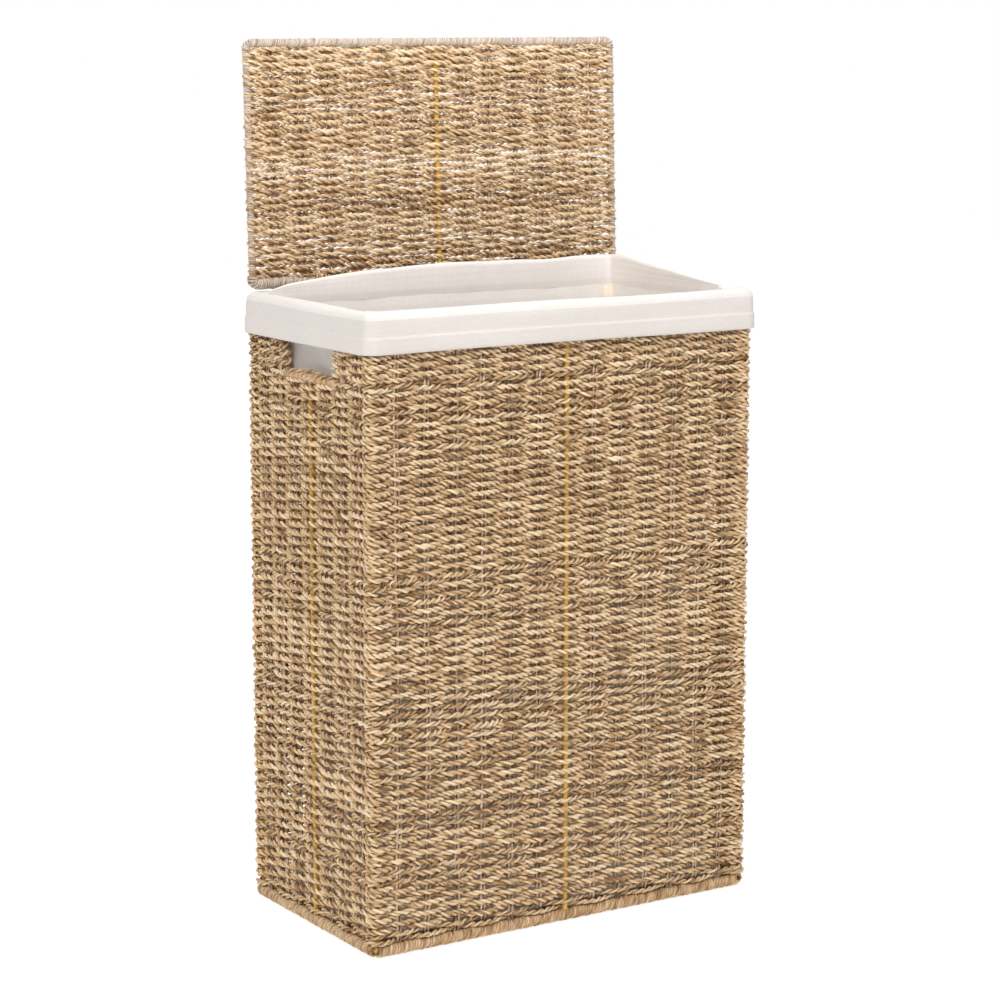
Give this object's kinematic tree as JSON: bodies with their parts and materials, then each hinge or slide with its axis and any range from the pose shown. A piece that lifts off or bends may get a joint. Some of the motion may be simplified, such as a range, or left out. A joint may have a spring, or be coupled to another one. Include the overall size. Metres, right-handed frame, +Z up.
{
  "type": "woven laundry basket",
  "caption": "Tall rectangular woven rope laundry basket on a wire frame, with a hinged lid, hand holes and a folded cotton liner.",
  "frame": {"origin": "centre of the body's underside, on the surface that the basket stands on", "axes": "+Z up, front facing -Y, width along X; the open lid leans back towards +Y"},
  "size_m": [0.4368, 0.2519, 0.8417],
  "materials": {
    "frame_wire": "satin",
    "stake_cord": "matte",
    "seagrass_rope": "matte",
    "seagrass_binding": "matte",
    "liner_cotton": "matte",
    "seam_tape": "matte"
  },
  "bodies": {
    "basket": {"base_ring_wire": "frame_wire", "rim_ring_wire": "frame_wire", "base_cross_wire": "frame_wire", "front_left_post": "frame_wire", "front_right_post": "frame_wire", "back_left_post": "frame_wire", "back_right_post": "frame_wire", "front_strut": "frame_wire", "back_strut": "frame_wire", "left_strut": "frame_wire", "right_strut": "frame_wire", "left_sill_wire": "frame_wire", "right_sill_wire": "frame_wire", "front_stakes": "stake_cord", "back_stakes": "stake_cord", "left_stakes": "stake_cord", "right_stakes": "stake_cord", "base_stakes": "stake_cord", "front_weave": "seagrass_rope", "back_weave": "seagrass_rope", "left_weave": "seagrass_rope", "right_weave": "seagrass_rope", "base_weave": "seagrass_rope", "left_upper_weave": "seagrass_rope", "right_upper_weave": "seagrass_rope", "foot_binding": "seagrass_binding", "rim_binding": "seagrass_binding", "left_sill_binding": "seagrass_binding", "right_sill_binding": "seagrass_binding", "left_hinge_tie": "seagrass_rope", "right_hinge_tie": "seagrass_rope", "liner": "liner_cotton", "cuff_hem": "liner_cotton", "liner_seam_tapes": "seam_tape"},
    "lid": {"lid_ring_wire": "frame_wire", "lid_strut": "frame_wire", "lid_stakes": "stake_cord", "lid_weave": "seagrass_rope", "lid_binding": "seagrass_binding"}
  },
  "joints": [
    {"name": "lid_hinge", "type": "hinge", "parent": "basket", "child": "lid", "pos_m": [0, 0.1145, 0.6068], "axis": [1, 0, 0], "range_deg": [0, 92]}
  ]
}
